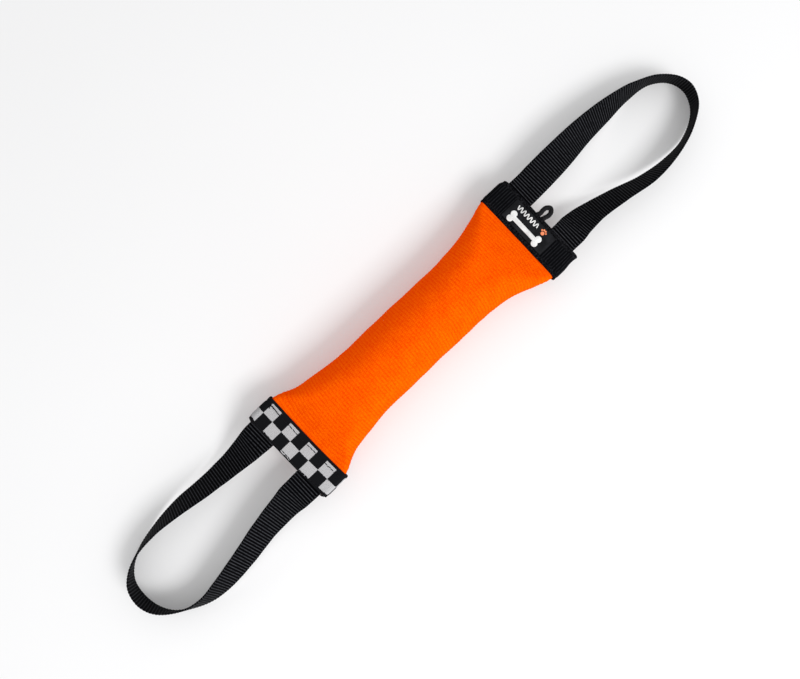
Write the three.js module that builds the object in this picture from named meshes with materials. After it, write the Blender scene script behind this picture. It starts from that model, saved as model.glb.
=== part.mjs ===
// Training bumper: a stuffed length of woven fire hose, pressed flat and sewn at both ends inside a
// webbing binding, with a webbing handle at each end and a small cord loop for throwing at one end.
// Millimetres. +X runs along the bumper towards the label end and +Z is up. The origin is on the
// ground, under the middle of the body.
import * as THREE from "three";

// ---- Driving dimensions ----
const GAP = 0.3; // left between faces that touch on the real object
const HOSE_WALL = 1;
const LINER_WALL = 0.5;
const STRAP_WIDTH = 25.4;
const STRAP_THICKNESS = 1.4;
const STRAP_EDGE = 0.4; // how far the strap's rounded edges taper
const BINDING_WIDTH = 25.4;
const BINDING_THICKNESS = 1.5;
const BINDING_START = 115.5; // from the middle to the inner edge of each binding
const HOSE_END = 140.5;
const FLAT_HALF_WIDTH = 41.4; // the hose where it is pressed flat
const MID_HALF_WIDTH = 28.4; // the hose round its filling
const CORE_END = 108;
const TAIL_START = 117.5; // how far in the sewn ends of the straps and cord reach

// One quarter of the hose's outline from above: distance from the middle, half width.
const HOSE_OUTLINE = [
  [46, MID_HALF_WIDTH],
  [64, 29.4],
  [80, 31.6],
  [96, 35.5],
  [108, 39.8],
  [BINDING_START, FLAT_HALF_WIDTH],
];
const OUTLINE_STEPS = 9;

// How many flats stand for a quarter of a round section, or for a quarter turn of an outline.
const HOSE_ARC = 6;
const CORD_ARC = 4;
const THREAD_ARC = 2;
const CORNER_ARC = 2;

// The straps fold at a line clear of the binding, so that they can lie back past its thick edge.
const STRAP_HINGE = 148;
const STRAP_FOLD_ROOM = 3; // from the line to the first of the rigid handle
const STRAP_STEPS = 56;
const LABEL_LEG_OFFSET = 25.2; // from the axis to the middle of each leg
const CHECKERED_LEG_OFFSET = 26;

const LABEL_SIZE = { along: 18.8, across: 45, thickness: 0.5, corner: 1 };
const LABEL_CENTRE = 127.8;

const CORD_RADIUS = 2;
const CORD_HINGE = 143.5;
const CORD_FOLD_ROOM = 1.6;
const CORD_HALF_SPREAD = 3.4; // at the mouth of the hose
const CORD_TIP = 152.8;
// One side of the loop's middle line from above: distance from the middle, offset from the axis.
const CORD_SIDE = [
  [CORD_HINGE + CORD_FOLD_ROOM, CORD_HALF_SPREAD],
  [147.7, 3.8],
  [150.8, 2.9],
];
const CORD_TAIL_SIZE = { across: 5.6, thickness: 1.4 }; // pressed flat by the stitching
const CORD_STEPS = 24;

const THREAD_RADIUS = 0.35;
const THREAD_RISE = 0.35; // how much higher a stitch stands than its ends
const STITCH_LENGTH = 3.2;
const STITCH_COUNT = 24;
// From the binding's inner and outer edges. The label's seam runs just inside the label.
const INNER_SEAM_INSET = { label: 2.1, checkered: 5 };
const OUTER_SEAM_INSET = 2.6;

// ---- Derived dimensions ----
const BINDING_END = BINDING_START + BINDING_WIDTH;
const HALF_STACK = STRAP_THICKNESS / 2 + GAP + LINER_WALL + GAP + HOSE_WALL;
// Woven hose doesn't stretch round its girth, so the girth is the same all along it.
const HOSE_GIRTH = 2 * Math.PI * HALF_STACK + 4 * (FLAT_HALF_WIDTH - HALF_STACK);
const AXIS_HEIGHT = hoseRadius(MID_HALF_WIDTH);
const BINDING_INSET = -(GAP + BINDING_THICKNESS); // the binding's outer face lies outside the hose
const BINDING_FACE = HALF_STACK - BINDING_INSET; // half the thickness of a bound end
const LINER_INSET = HOSE_WALL + GAP;
const CORE_INSET = LINER_INSET + LINER_WALL + GAP;

// Stations along each handle's middle line: x, y, height, and how far the strap has rolled from
// lying flat, in degrees. A positive roll lifts the edge on the outside of the loop.
const STRAP_START = STRAP_HINGE + STRAP_FOLD_ROOM;
const LABEL_HANDLE_ROUTE = [
  [STRAP_START, LABEL_LEG_OFFSET, AXIS_HEIGHT, 0],
  [166, 25.3, 25.6, 3],
  [190, 26, 24.4, 18],
  [220, 28, 20, 40],
  [250, 28.4, 16, 60],
  [278, 25.8, 13.4, 84],
  [300, 16.5, 12.9, 100],
  [314, 3, 12.7, 105],
  [318, -9, 12.6, 105],
  [311, -23, 12.7, 105],
  [288, -35, 14.8, 100],
  [262, -40, 16.8, 85],
  [235, -39, 17.8, 68],
  [207, -33, 18.2, 56],
  [180, -27.8, 19.4, 42],
  [163, -25.8, 22.6, 22],
  [STRAP_START, -LABEL_LEG_OFFSET, AXIS_HEIGHT, 0],
];
const CHECKERED_HANDLE_ROUTE = [
  [-STRAP_START, -CHECKERED_LEG_OFFSET, AXIS_HEIGHT, 0],
  [-164, -26.4, 22, -22],
  [-191, -29.6, 18.8, -41],
  [-218, -35, 17.5, -49],
  [-244, -38.6, 15.8, -58],
  [-262, -38.4, 13.8, -70],
  [-277, -33.4, 12.7, -78],
  [-289, -25.5, 12.6, -76],
  [-296.5, -15.5, 12.7, -80],
  [-298.6, -4, 12.7, -80],
  [-296, 8, 12.6, -77],
  [-289, 17.5, 12.6, -74],
  [-276, 25.5, 13, -72],
  [-254, 29.8, 15, -68],
  [-229, 30.4, 17, -58],
  [-203, 27.6, 17.6, -51],
  [-178, 26, 19, -39],
  [-161, 25.9, 22.4, -20],
  [-STRAP_START, CHECKERED_LEG_OFFSET, AXIS_HEIGHT, 0],
];

// ---- Materials ----
const hoseOrange = new THREE.MeshStandardMaterial({ color: 0xf26a12, roughness: 0.85 });
const linerRubber = new THREE.MeshStandardMaterial({ color: 0x2b2622, roughness: 0.7 });
const foamWhite = new THREE.MeshStandardMaterial({ color: 0xe6e2d8, roughness: 0.95 });
const webbingBlack = new THREE.MeshStandardMaterial({ color: 0x17181a, roughness: 0.8 });
const checkeredGrey = new THREE.MeshStandardMaterial({ color: 0x6c6e70, roughness: 0.85 });
const labelCharcoal = new THREE.MeshStandardMaterial({ color: 0x222429, roughness: 0.6 });
const cordBlack = new THREE.MeshStandardMaterial({ color: 0x131415, roughness: 0.9 });
const threadBlack = new THREE.MeshStandardMaterial({ color: 0x1c1c1e, roughness: 0.7 });

// ---- Shapes ----
const UP = new THREE.Vector3(0, 0, 1);
// Turns a shape drawn in X and Y, and extruded along Z, to lie across the bumper and run along it.
const TO_ACROSS = new THREE.Matrix4().makeBasis(
  new THREE.Vector3(0, 1, 0),
  new THREE.Vector3(0, 0, 1),
  new THREE.Vector3(1, 0, 0),
);

// The radius of the hose's rounded sides where its half width is given.
function hoseRadius(halfWidth) {
  return (HOSE_GIRTH - 4 * halfWidth) / (2 * Math.PI - 4);
}

// Draws a stadium: the flat hose's section, moved in by an inset. A negative inset moves it out.
function flatSection(path, inset) {
  const straight = FLAT_HALF_WIDTH - HALF_STACK;
  const radius = HALF_STACK - inset;
  path.absarc(straight, 0, radius, -Math.PI / 2, Math.PI / 2);
  path.absarc(-straight, 0, radius, Math.PI / 2, 1.5 * Math.PI);
  path.closePath();
  return path;
}

// The flat section of a layer of the hose or of a binding, open through its middle.
function layerSection(inset, thickness) {
  const shape = flatSection(new THREE.Shape(), inset);
  shape.holes.push(flatSection(new THREE.Path(), inset + thickness));
  return shape;
}

function extrude(shape, depth, options = {}) {
  return new THREE.ExtrudeGeometry(shape, {
    depth,
    bevelEnabled: false,
    curveSegments: HOSE_ARC,
    ...options,
  });
}

// Extrudes a shape with one layer for each station, and moves every point to where place puts it.
function loft(shape, stations, place) {
  const steps = stations.length - 1;
  const geometry = extrude(shape, steps, { steps });
  const position = geometry.attributes.position;
  const point = new THREE.Vector3();
  for (let i = 0; i < position.count; i += 1) {
    point.fromBufferAttribute(position, i);
    const placed = place(point.x, point.y, stations[Math.round(point.z)]);
    position.setXYZ(i, placed.x, placed.y, placed.z);
  }
  geometry.computeVertexNormals();
  return geometry;
}

// ---- Hose, liner and core ----
function hoseStations(end) {
  const line = new THREE.SplineCurve(HOSE_OUTLINE.map(([x, width]) => new THREE.Vector2(x, width)));
  const half = line.getSpacedPoints(OUTLINE_STEPS).filter((point) => point.x < end);
  const last = end > BINDING_START ? FLAT_HALF_WIDTH : half.at(-1).y;
  half.push(new THREE.Vector2(end, last));
  const mirrored = half.map((point) => new THREE.Vector2(-point.x, point.y)).reverse();
  return [...mirrored, ...half];
}

// Moves a point of the flat section to the section that has the same girth at a station.
function placeOnHose(across, up, station) {
  const flatStraight = FLAT_HALF_WIDTH - HALF_STACK;
  const radius = hoseRadius(station.y);
  const onStraight = THREE.MathUtils.clamp(across, -flatStraight, flatStraight);
  const fromCentre = Math.hypot(across - onStraight, up);
  const grow = (fromCentre + radius - HALF_STACK) / fromCentre;
  const straight = (onStraight * (station.y - radius)) / flatStraight;
  const y = straight + (across - onStraight) * grow;
  return new THREE.Vector3(station.x, y, AXIS_HEIGHT + up * grow);
}

function hoseLayer(inset, thickness) {
  return loft(layerSection(inset, thickness), hoseStations(HOSE_END), placeOnHose);
}

function foamCore() {
  return loft(flatSection(new THREE.Shape(), CORE_INSET), hoseStations(CORE_END), placeOnHose);
}

// ---- Bindings and label ----
function binding(start) {
  const geometry = extrude(layerSection(BINDING_INSET, BINDING_THICKNESS), BINDING_WIDTH);
  return geometry.applyMatrix4(TO_ACROSS).translate(start, 0, AXIS_HEIGHT);
}

function wovenLabel() {
  const { along, across, thickness, corner } = LABEL_SIZE;
  const x = along / 2 - corner;
  const y = across / 2 - corner;
  const shape = new THREE.Shape();
  shape.absarc(x, y, corner, 0, Math.PI / 2);
  shape.absarc(-x, y, corner, Math.PI / 2, Math.PI);
  shape.absarc(-x, -y, corner, Math.PI, 1.5 * Math.PI);
  shape.absarc(x, -y, corner, 1.5 * Math.PI, 2 * Math.PI);
  const face = AXIS_HEIGHT + BINDING_FACE + GAP;
  const geometry = extrude(shape, thickness, { curveSegments: CORNER_ARC });
  return geometry.translate(LABEL_CENTRE, 0, face);
}

// ---- Straps ----
// The strap's section, drawn across its width, with its thickness along Y.
function strapSection() {
  const halfWidth = STRAP_WIDTH / 2;
  const halfThickness = STRAP_THICKNESS / 2;
  const shoulder = halfWidth - STRAP_EDGE;
  return new THREE.Shape([
    new THREE.Vector2(halfWidth, 0),
    new THREE.Vector2(shoulder, halfThickness),
    new THREE.Vector2(-shoulder, halfThickness),
    new THREE.Vector2(-halfWidth, 0),
    new THREE.Vector2(-shoulder, -halfThickness),
    new THREE.Vector2(shoulder, -halfThickness),
  ]);
}

function handleLoop(route) {
  const line = new THREE.CatmullRomCurve3(
    route.map(([x, y, z]) => new THREE.Vector3(x, y, z)),
    false,
    "centripetal",
  );
  const rolls = new THREE.SplineCurve(route.map(([, , , roll], i) => new THREE.Vector2(i, roll)));
  const stations = [];
  for (let i = 0; i <= STRAP_STEPS; i += 1) {
    const share = i / STRAP_STEPS;
    const tangent = line.getTangent(share);
    const outward = UP.clone().cross(tangent).normalize();
    const roll = THREE.MathUtils.degToRad(rolls.getPoint(share).y);
    const width = outward.applyAxisAngle(tangent, roll);
    stations.push({ centre: line.getPoint(share), width, normal: tangent.clone().cross(width) });
  }
  return loft(strapSection(), stations, (across, through, { centre, width, normal }) =>
    centre.clone().addScaledVector(width, across).addScaledVector(normal, through),
  );
}

// The end of a strap or cord that is sewn into the hose: a straight length at mid thickness.
function sewnTail(shape, side, offset, end) {
  const length = end - TAIL_START;
  const start = side > 0 ? TAIL_START : -end;
  return extrude(shape, length).applyMatrix4(TO_ACROSS).translate(start, offset, AXIS_HEIGHT);
}

// ---- Throw loop ----
function throwLoop() {
  const away = CORD_SIDE.map(([x, y]) => new THREE.Vector3(x, y, AXIS_HEIGHT));
  const back = CORD_SIDE.map(([x, y]) => new THREE.Vector3(x, -y, AXIS_HEIGHT)).reverse();
  const tip = new THREE.Vector3(CORD_TIP, 0, AXIS_HEIGHT);
  const extrudePath = new THREE.CatmullRomCurve3([...away, tip, ...back]);
  const section = new THREE.Shape().absarc(0, 0, CORD_RADIUS, 0, 2 * Math.PI);
  return extrude(section, 0, { extrudePath, steps: CORD_STEPS, curveSegments: CORD_ARC });
}

function cordTailSection() {
  const across = CORD_TAIL_SIZE.across / 2;
  const up = CORD_TAIL_SIZE.thickness / 2;
  return new THREE.Shape([
    new THREE.Vector2(across, up),
    new THREE.Vector2(-across, up),
    new THREE.Vector2(-across, -up),
    new THREE.Vector2(across, -up),
  ]);
}

// ---- Seams ----
// One row of stitches across a binding, on its front (face 1) or its back (face -1).
function seam(x, face) {
  const points = [];
  const base = BINDING_FACE + GAP + THREAD_RADIUS;
  for (let i = 0; i <= 2 * STITCH_COUNT; i += 1) {
    const y = (i / 2 - STITCH_COUNT / 2) * STITCH_LENGTH;
    const rise = i % 2 === 1 ? THREAD_RISE : 0;
    points.push(new THREE.Vector3(x, y, AXIS_HEIGHT + face * (base + rise)));
  }
  const extrudePath = new THREE.CatmullRomCurve3(points);
  const section = new THREE.Shape().absarc(0, 0, THREAD_RADIUS, 0, 2 * Math.PI);
  const steps = 2 * STITCH_COUNT;
  return extrude(section, 0, { extrudePath, steps, curveSegments: THREAD_ARC });
}

// ---- Assembly ----
const bumper = new THREE.Group();

function add(name, geometry, material) {
  const mesh = new THREE.Mesh(geometry, material);
  mesh.name = name;
  bumper.add(mesh);
}

add("hose_jacket", hoseLayer(0, HOSE_WALL), hoseOrange);
add("hose_liner", hoseLayer(LINER_INSET, LINER_WALL), linerRubber);
add("foam_core", foamCore(), foamWhite);

add("label_end_binding", binding(BINDING_START), webbingBlack);
add("checkered_end_binding", binding(-BINDING_END), checkeredGrey);
add("woven_label", wovenLabel(), labelCharcoal);

add("label_end_handle", handleLoop(LABEL_HANDLE_ROUTE), webbingBlack);
add("checkered_end_handle", handleLoop(CHECKERED_HANDLE_ROUTE), webbingBlack);
add("throw_loop", throwLoop(), cordBlack);

for (const [side, name] of [[1, "left"], [-1, "right"]]) {
  const strapEnd = STRAP_HINGE - GAP;
  const labelTail = sewnTail(strapSection(), 1, side * LABEL_LEG_OFFSET, strapEnd);
  const checkeredTail = sewnTail(strapSection(), -1, side * CHECKERED_LEG_OFFSET, strapEnd);
  const cordTail = sewnTail(cordTailSection(), 1, side * CORD_HALF_SPREAD, CORD_HINGE - GAP);
  add(`label_handle_tail_${name}`, labelTail, webbingBlack);
  add(`checkered_handle_tail_${name}`, checkeredTail, webbingBlack);
  add(`throw_loop_tail_${name}`, cordTail, cordBlack);
}

for (const [end, direction] of [["label", 1], ["checkered", -1]]) {
  for (const [face, up] of [["front", 1], ["back", -1]]) {
    const inner = direction * (BINDING_START + INNER_SEAM_INSET[end]);
    const outer = direction * (BINDING_END - OUTER_SEAM_INSET);
    add(`${end}_inner_seam_${face}`, seam(inner, up), threadBlack);
    add(`${end}_outer_seam_${face}`, seam(outer, up), threadBlack);
  }
}

export default bumper;
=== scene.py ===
"""The looks of a training bumper: a stuffed hose with bound ends, webbing handles and a cord loop.

Lengths are in millimetres until a mesh is made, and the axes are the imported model's: +X along the
bumper towards the label end, +Y across it and +Z up, with the ground at z = 0.
"""
import math

import bpy
import numpy as np
from mathutils import Matrix, Vector


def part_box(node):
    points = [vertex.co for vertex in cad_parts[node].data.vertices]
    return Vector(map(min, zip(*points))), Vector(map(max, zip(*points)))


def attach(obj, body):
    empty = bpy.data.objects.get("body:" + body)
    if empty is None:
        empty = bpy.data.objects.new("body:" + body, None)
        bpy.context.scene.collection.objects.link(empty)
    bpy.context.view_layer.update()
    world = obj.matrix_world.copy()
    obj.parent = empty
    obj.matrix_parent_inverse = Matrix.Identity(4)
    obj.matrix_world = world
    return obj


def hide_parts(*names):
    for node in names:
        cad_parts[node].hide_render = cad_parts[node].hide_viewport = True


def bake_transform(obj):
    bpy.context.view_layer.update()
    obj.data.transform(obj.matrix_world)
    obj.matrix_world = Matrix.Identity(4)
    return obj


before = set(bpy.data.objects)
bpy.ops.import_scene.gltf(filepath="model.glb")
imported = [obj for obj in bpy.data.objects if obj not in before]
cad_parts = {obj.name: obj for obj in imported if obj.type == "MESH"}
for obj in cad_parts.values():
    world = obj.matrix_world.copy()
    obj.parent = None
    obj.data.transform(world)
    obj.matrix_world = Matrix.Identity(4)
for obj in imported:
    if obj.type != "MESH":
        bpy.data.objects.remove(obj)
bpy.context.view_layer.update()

MM = 0.001
TURN = 2 * math.pi
UV_NAME = "Places"
UV_UNIT = 10  # millimetres to one unit of a UV map
UP = np.array([0.0, 0.0, 1.0])

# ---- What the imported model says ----
LABEL_BINDING, JACKET, LABEL = (
    np.array(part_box(node)) / MM for node in ("label_end_binding", "hose_jacket", "woven_label")
)
BINDING_START, BINDING_END = LABEL_BINDING[0][0], LABEL_BINDING[1][0]
AXIS_HEIGHT = (LABEL_BINDING[0][2] + LABEL_BINDING[1][2]) / 2
BINDING_FACE = LABEL_BINDING[1][2] - AXIS_HEIGHT
BINDING_HALF_SPAN = LABEL_BINDING[1][1]
HOSE_END = JACKET[1][0]
FLAT_HALF_WIDTH = JACKET[1][1]

# ---- Sizes shared with the CAD source ----
HOSE_WALL = 1.0
LINER_GAP = 0.05
LINER_WALL = 0.5
LINER_SHORTER = 0.5  # than the hose, at each end
CORE_GAP = 0.3
CORE_END = 108  # half the foam core's length
BINDING_THICKNESS = 1.5
HALF_STACK = 2.8
TAIL_START = 117.5
MID_HALF_WIDTH = 28.4
HOSE_OUTLINE = [  # distance from the middle, half width
    [46, MID_HALF_WIDTH],
    [64, 29.4],
    [80, 31.6],
    [96, 35.5],
    [108, 39.8],
    [BINDING_START, FLAT_HALF_WIDTH],
]
STRAP_WIDTH = 25.9
STRAP_THICKNESS = 1.6
STRAP_START = 151
STRAP_SEWN = (TAIL_START, 130, 142)  # stations of its sewn-in ends
BINDING_GIRTH = 4 * (BINDING_HALF_SPAN - BINDING_FACE) + TURN * BINDING_FACE
HOSE_GIRTH = TURN * HALF_STACK + 4 * (FLAT_HALF_WIDTH - HALF_STACK)

# Each handle's middle line: x, y, height, and the roll from lying flat in degrees.
LABEL_HANDLE_ROUTE = [
    [STRAP_START, 24.1, AXIS_HEIGHT, 0],
    [166, 24.7, 25.6, 3],
    [190, 25.7, 24.4, 17],
    [220, 27.2, 20, 37],
    [250, 26.8, 16, 53],
    [278, 24.6, 13.4, 74],
    [300.4, 18.2, 12.9, 94],
    [314.7, 5.7, 12.6, 104],
    [318.4, -8, 12.5, 106],
    [311.4, -23, 12.6, 104],
    [288.2, -35.7, 14.8, 97],
    [262, -40, 16.8, 82],
    [235, -39, 17.8, 66],
    [207, -32.6, 18.2, 54],
    [180, -27.4, 19.4, 41],
    [163, -26, 22.6, 22],
    [STRAP_START, -26.4, AXIS_HEIGHT, 0],
]
CHECKERED_HANDLE_ROUTE = [
    [-STRAP_START, -27, AXIS_HEIGHT, 0],
    [-164, -27.4, 22, -22],
    [-191, -30.2, 18.8, -40],
    [-218, -35.3, 17.5, -48],
    [-244, -39, 15.8, -57],
    [-262, -39.3, 13.8, -67],
    [-277, -35, 12.7, -74],
    [-289.2, -27.2, 12.6, -75],
    [-297, -16.5, 12.7, -81],
    [-299.9, -4, 12.8, -84],
    [-297.4, 9.6, 12.8, -82],
    [-289.6, 18.9, 12.7, -80],
    [-276, 25.8, 13, -79],
    [-254, 29.5, 15, -73],
    [-229, 29.6, 17, -62],
    [-203, 27.2, 17.6, -54],
    [-178, 26, 19, -43],
    [-161, 26, 22.4, -28],
    [-STRAP_START, 26.2, AXIS_HEIGHT, -14],
]

# One side of the throw loop's middle line from above, and its far end.
CORD_DIAMETER = 4.0
CORD_FLAT = (5.6, 1.4)  # width and thickness where it is pressed between the hose's walls
CORD_SIDE = [[143.6, 2.5], [147.4, 3.1], [150.8, 2.8]]
CORD_TIP = 153.4
CORD_HALF_SPREAD = 3.4
CORD_LEAN = -1.3  # across the bumper, at its far end
CORD_LEANS = (137, 148)  # where it starts to lean, and where it has leant
CORD_OPENS = (140.2, 144)  # where it is still flat, and where it is round
CORD_STEP = 0.3
CORD_SIDES = 30

# ---- Camera, light and floor ----
CAMERA_LENS = 29
CAMERA_TILT = math.radians(4)  # from straight down, towards the label end
CAMERA_ROLL = math.radians(43.4)
CAMERA_TARGET = Vector((-10.3, 5.4, 26)) * MM
CAMERA_DISTANCE = 0.5156

LIGHT_DISTANCE = 1.5
LIGHTS = {  # elevation above the -Y horizon, size across and up, power
    "key": (52, (0.7, 0.6), 13.4),
    "low_fill": (31, (1.3, 0.7), 17),
}
WORLD_STRENGTH = 0.78
FLOOR_HALF_SIZE = 3.0  # metres
FLOOR_GLOW = 0.145  # the sheet of paper is lit from below as well


def add_camera():
    camera = bpy.data.cameras.new("camera")
    camera.lens = CAMERA_LENS
    forward = Vector((math.sin(CAMERA_TILT), 0, -math.cos(CAMERA_TILT)))
    level = Vector((math.cos(CAMERA_TILT), 0, math.sin(CAMERA_TILT)))
    across = Vector((0, 1, 0))
    right = level * math.cos(CAMERA_ROLL) - across * math.sin(CAMERA_ROLL)
    upward = level * math.sin(CAMERA_ROLL) + across * math.cos(CAMERA_ROLL)
    turn = Matrix((right, upward, -forward)).transposed().to_4x4()
    place = CAMERA_TARGET - forward * CAMERA_DISTANCE
    holder = link("camera", camera)
    holder.matrix_world = Matrix.Translation(place) @ turn
    bpy.context.scene.camera = holder


def add_light(name, elevation, size, power):
    light = bpy.data.lights.new(name, "AREA")
    light.shape = "RECTANGLE"
    light.size, light.size_y = size
    light.energy = power
    holder = link(name, light)
    elevation = math.radians(elevation)
    away = Vector((0, -math.cos(elevation), math.sin(elevation)))
    holder.location = away * LIGHT_DISTANCE
    holder.rotation_mode = "QUATERNION"
    holder.rotation_quaternion = away.to_track_quat("Z", "Y")
    return holder


def keep_off(light, piece):
    """Stops a light from falling on one piece, as a flag on a stand does."""
    shaded = bpy.data.collections.new(f"{light.name} flagged")
    shaded.objects.link(piece)
    light.light_linking.receiver_collection = shaded
    shaded.collection_objects[0].light_linking.link_state = "EXCLUDE"


def add_world():
    world = bpy.data.worlds.new("studio")
    world.use_nodes = True
    background = world.node_tree.nodes["Background"]
    background.inputs["Color"].default_value = (1, 1, 1, 1)
    background.inputs["Strength"].default_value = WORLD_STRENGTH
    bpy.context.scene.world = world
    bpy.context.scene.view_settings.view_transform = "Standard"


# ---- Nodes ----
def put(kind, *inputs, tree=None, output=0, **settings):
    """Adds a node to a tree, or to the one that its inputs are in. Fills its inputs in order with
    numbers or sockets, and returns an output."""
    sockets = [value for value in inputs if isinstance(value, bpy.types.NodeSocket)]
    tree = tree or sockets[0].id_data
    node = tree.nodes.new(kind)
    for name, value in settings.items():
        setattr(node, name, value)
    for socket, value in zip(node.inputs, inputs):
        if isinstance(value, bpy.types.NodeSocket):
            tree.links.new(value, socket)
        elif value is not None:
            socket.default_value = value
    return node.outputs[output]


def calculate(operation, *inputs):
    return put("ShaderNodeMath", *inputs, operation=operation)


def calculator(operation):
    return lambda *inputs: calculate(operation, *inputs)


plus, minus, times, over = map(calculator, ("ADD", "SUBTRACT", "MULTIPLY", "DIVIDE"))
times_plus, power, cosine = map(calculator, ("MULTIPLY_ADD", "POWER", "COSINE"))


def mix_colours(share, first, second):
    """A colour between two, which are sockets or numbers."""
    tree = share.id_data
    node = tree.nodes.new("ShaderNodeMix")
    node.data_type = "RGBA"
    for name, value in (("Factor", share), ("A", first), ("B", second)):
        socket = next(s for s in node.inputs if s.name == name and s.enabled)
        if isinstance(value, bpy.types.NodeSocket):
            tree.links.new(value, socket)
        else:
            socket.default_value = (*value, 1)
    return next(s for s in node.outputs if s.enabled)


def wave(place, pitch):
    """A smooth wave from 0 to 1 along a coordinate."""
    return times_plus(cosine(times(place, TURN / pitch)), 0.5, 0.5)


def noise(vector, scale, detail=2.0, roughness=0.5):
    return put("ShaderNodeTexNoise", vector, None, scale, detail, roughness)


def fade(value, low, high, start=0.0, end=1.0):
    return put("ShaderNodeMapRange", value, low, high, start, end)


def spread(grain, start, end, reach=0.2):
    """Spreads a noise, most of which lies within reach of a half, over start to end."""
    return fade(grain, 0.5 - reach, 0.5 + reach, start, end)


def uv_places(shader):
    """The UV map as a vector, and its two coordinates in millimetres."""
    vector = put("ShaderNodeUVMap", tree=shader.id_data, uv_map=UV_NAME)
    split = put("ShaderNodeSeparateXYZ", vector).node
    return vector, times(split.outputs[0], UV_UNIT), times(split.outputs[1], UV_UNIT)


def new_material(name, roughness, specular):
    """A Principled material, and its shader."""
    material = bpy.data.materials.new(name)
    material.use_nodes = True
    shader = material.node_tree.nodes["Principled BSDF"]
    shader.inputs["Roughness"].default_value = roughness
    shader.inputs["Specular IOR Level"].default_value = specular
    return material, shader


def add_bump(shader, height, depth, strength):
    """Raises the surface by up to depth millimetres where height is 1."""
    tree = shader.id_data
    node = tree.nodes.new("ShaderNodeBump")
    node.inputs["Strength"].default_value = strength
    node.inputs["Distance"].default_value = depth * MM
    tree.links.new(height, node.inputs["Height"])
    tree.links.new(node.outputs[0], shader.inputs["Normal"])


def paint(shader, colour, roughness=None):
    links = shader.id_data.links
    links.new(colour, shader.inputs["Base Color"])
    if roughness is not None:
        links.new(roughness, shader.inputs["Roughness"])


# ---- Materials ----
HOSE_RIB_PITCH = 2.8
HOSE_RIB_STARTS = 2  # the ribs wind round the hose as a screw with this many starts
HOSE_RIB_SLOPE = HOSE_RIB_PITCH * HOSE_RIB_STARTS / HOSE_GIRTH
HOSE_YARN_PITCH = HOSE_GIRTH / 116
FLUORESCENT_AND_PAINTED_GLOW = 0.32  # a red glow: partly the fluorescent dye's own red, partly painted light that lifts the hose's shaded side
STRAP_RIB_PITCH = 2.4
STRAP_YARN_PITCH = 1.2
CREST_SHARPNESS = 4.5  # how narrow the painted highlight along each rib of black webbing is
SEAM_PUCKER = (0.9, 2.2)  # from a seam to where ribs are most broken up, and are whole
BINDING_RIB_PITCH = BINDING_GIRTH / 82
LABEL_YARN = 0.42


def pebbles(across, along, rib_pitch, yarn_pitch):
    """The yarns that ribs are woven from, which shift by half a step from each rib to the next."""
    alternate = cosine(times(along, math.pi / rib_pitch))
    crossing = cosine(times(across, TURN / yarn_pitch))
    return times_plus(times(alternate, crossing), 0.5, 0.5)


def hose_cloth():
    """Fluorescent orange polyester: raised weft ribs, broken into yarns by the warp."""
    material, shader = new_material("hose_cloth", roughness=0.85, specular=0.005)
    vector, girth, along = uv_places(shader)
    rib = wave(along, HOSE_RIB_PITCH)
    groove = power(minus(1.0, rib), 3.0)
    yarn = pebbles(girth, along, HOSE_RIB_PITCH, HOSE_YARN_PITCH)
    fibre = noise(vector, 14, detail=4, roughness=0.65)
    grain = noise(vector, 6.5, detail=3, roughness=0.6)
    cloud = noise(vector, 0.9, detail=2)
    height = times_plus(yarn, 0.5, times(fibre, 0.6))
    height = plus(height, grain)
    # Painted shade and highlight: the grooves between ribs are darker and the yarns' tops lighter,
    # as light falls on them; the noises below add random tone.
    light = times_plus(groove, -0.3, times(yarn, 0.3))
    light = plus(light, 0.17)
    light = plus(light, spread(grain, -0.2, 0.4, reach=0.18))
    light = plus(light, spread(fibre, -0.1, 0.15))
    light = plus(light, spread(cloud, -0.1, 0.12))
    colour = mix_colours(light, (0.42, 0.046, 0.0), (0.56, 0.118, 0.0))
    paint(shader, colour, fade(yarn, 0, 1, 0.95, 0.8))
    # Partly painted light: an even red glow that lifts the shaded side, on top of the dye's
    # fluorescence.
    shader.inputs["Emission Color"].default_value = (1, 0, 0, 1)
    shader.inputs["Emission Strength"].default_value = FLUORESCENT_AND_PAINTED_GLOW
    add_bump(shader, height, 0.25, strength=0.8)
    return material


def black_webbing(name, rib_pitch, crest_highlight_colour, groove_colour=(0.0002, 0.0003, 0.0005), seams=()):
    """Black nylon webbing: near black, with a painted highlight of dark grey along each rib's
    crest, for the nylon's sheen. A seam breaks up the ribs that it crosses."""
    material, shader = new_material(name, roughness=0.6, specular=0.008)
    vector, across, along = uv_places(shader)
    pebble = pebbles(across, along, rib_pitch, STRAP_YARN_PITCH)
    fibre = noise(vector, 18, detail=3, roughness=0.6)
    height = times_plus(pebble, 0.7, times(fibre, 0.5))
    # Painted highlight: a narrow light line along each rib's crest for the nylon's sheen, made
    # patchy at random below.
    crest = power(wave(along, rib_pitch), CREST_SHARPNESS)
    light = times(crest, fade(pebble, 0, 1, 0.3, 1.35))
    highlight_patches = noise(vector, 7, detail=3)
    light = times(light, spread(highlight_patches, 0.3, 1.6, reach=0.18))
    pucker = fade(noise(vector, 6, detail=4, roughness=0.6), 0.48, 0.66, 0.0, 1.2)
    for seam_place in seams:
        aside = calculate("ABSOLUTE", minus(across, seam_place))
        share = fade(aside, *SEAM_PUCKER, 0.9, 0.0)
        light = put("ShaderNodeMix", share, None, light, pucker)
    colour = mix_colours(light, groove_colour, crest_highlight_colour)
    paint(shader, colour, spread(fibre, 0.45, 0.7))
    add_bump(shader, height, 0.2, strength=0.8)
    return material


CHECKER_INNER_MARGIN = 2.4
CHECKER_ROW = 10.7  # the squares' size across the tape
CHECKER_SIDE = 10.03  # and along it
CHECKER_OUTER_MARGIN = 1.2
CHECKER_CORNER_MARGIN = 1.8  # how much wider the outer margin is at the corners
CHECKER_SHIFT = 3.9  # where along the tape a square begins
CHECKER_YARN = 0.95


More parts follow.
